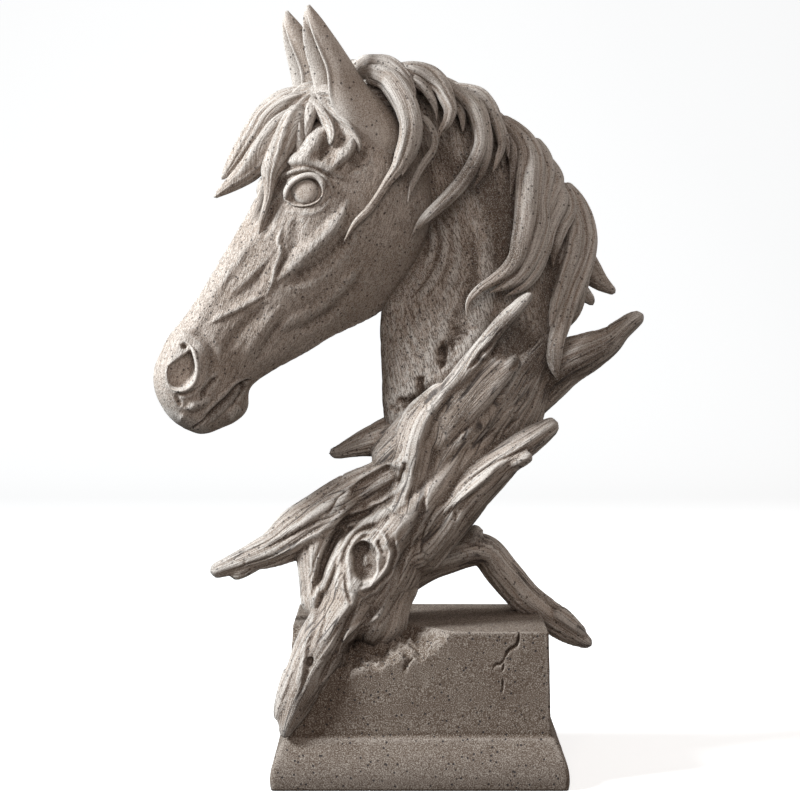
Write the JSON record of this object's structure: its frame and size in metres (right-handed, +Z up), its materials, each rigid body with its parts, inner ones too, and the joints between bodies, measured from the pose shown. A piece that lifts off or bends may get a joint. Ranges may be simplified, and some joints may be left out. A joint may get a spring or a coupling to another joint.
{
  "type": "horse head sculpture",
  "caption": "Horse head and neck growing out of twisted driftwood roots on a moulded rectangular plinth, in speckled sandstone-coloured cast stone.",
  "frame": {"origin": "centre of the plinth's underside", "axes": "+Z up from the plinth towards the ears, the plinth's long front face towards -Y, the horse looking towards -X"},
  "size_m": [0.2978, 0.1421, 0.4624],
  "materials": {
    "cast_stone": "matt pale grey-brown sandstone look with fine dark and light speckles and a brown wash in the hollows"
  },
  "bodies": {
    "root": {"horse_head_sculpture": "cast_stone"}
  },
  "joints": []
}
